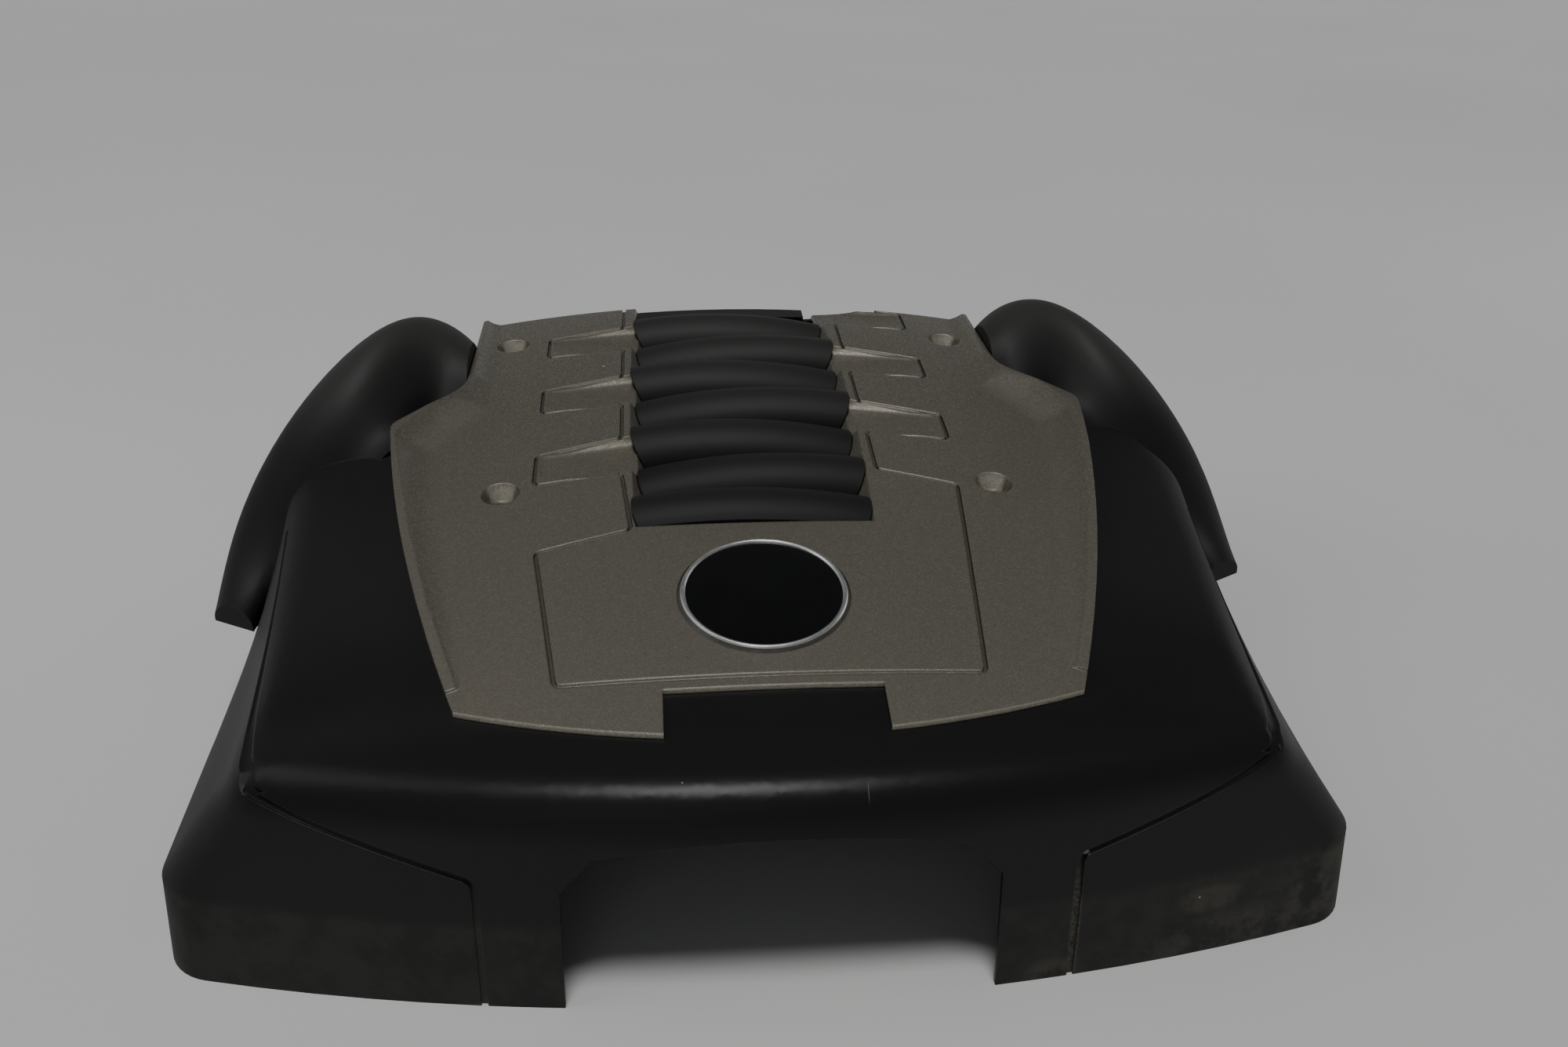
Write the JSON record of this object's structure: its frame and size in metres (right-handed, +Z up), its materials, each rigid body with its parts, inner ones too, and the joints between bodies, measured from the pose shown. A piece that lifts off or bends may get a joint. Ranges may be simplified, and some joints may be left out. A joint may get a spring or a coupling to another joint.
{
  "type": "engine cover",
  "caption": "Moulded car engine cover: black shell with front legs and arched rear wings, grey trim panel around a bank of runner-shaped ribs, plain round badge, cup fixings.",
  "frame": {"origin": "bottom centre of the bounding box: on the plane under the leg bottoms, on the centre line", "axes": "+X to the right as seen from the front of the cover, +Y to its rear, +Z up"},
  "size_m": [0.6014, 0.47, 0.194],
  "materials": {
    "black_plastic": "fine-grained satin",
    "grey_paint": "satin metallic paint",
    "bright_ring": "bright",
    "dark_disc": "gloss",
    "grommet_rubber": "matt",
    "sleeve_steel": "zinc plated",
    "nut_steel": "zinc plated"
  },
  "bodies": {
    "root": {"main_cover": "black_plastic", "trim_panel": "grey_paint", "badge_ring": "bright_ring", "badge_disc": "dark_disc", "grommet_front_left": "grommet_rubber", "grommet_front_right": "grommet_rubber", "grommet_rear_left": "grommet_rubber", "grommet_rear_right": "grommet_rubber", "sleeve_front_left": "sleeve_steel", "sleeve_front_right": "sleeve_steel", "sleeve_rear_left": "sleeve_steel", "sleeve_rear_right": "sleeve_steel", "push_nut_1": "nut_steel", "push_nut_2": "nut_steel", "push_nut_3": "nut_steel", "push_nut_4": "nut_steel", "push_nut_5": "nut_steel", "push_nut_6": "nut_steel", "push_nut_7": "nut_steel", "push_nut_8": "nut_steel"}
  },
  "joints": []
}
